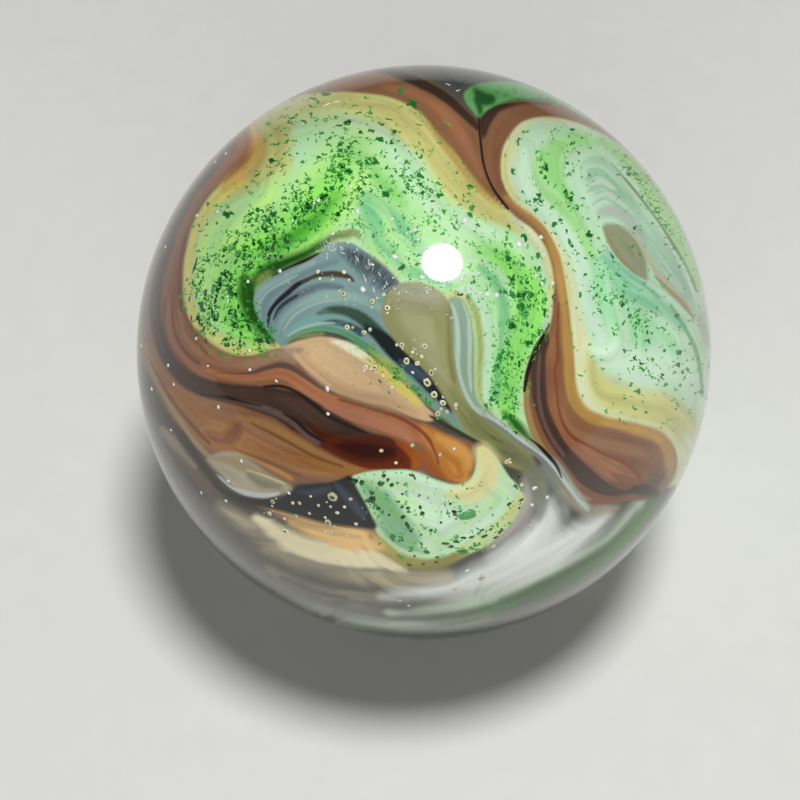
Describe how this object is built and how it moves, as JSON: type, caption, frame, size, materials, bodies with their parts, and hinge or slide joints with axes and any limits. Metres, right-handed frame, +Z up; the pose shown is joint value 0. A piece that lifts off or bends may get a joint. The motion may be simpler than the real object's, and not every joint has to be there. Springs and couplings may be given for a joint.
{
  "type": "glass marble",
  "caption": "Solid glass ball with fused swirls of green, cream, brown, white and clear glass.",
  "frame": {"origin": "centre of the ball", "axes": "+Z up and +X to the right, with the swirl's best side facing -Y and up; the ball itself is round about every axis"},
  "size_m": [0.016, 0.016, 0.016],
  "materials": {
    "swirl_glass": "polished, fused swirl of opaque and clear glass"
  },
  "bodies": {
    "root": {"marble": "swirl_glass"}
  },
  "joints": []
}
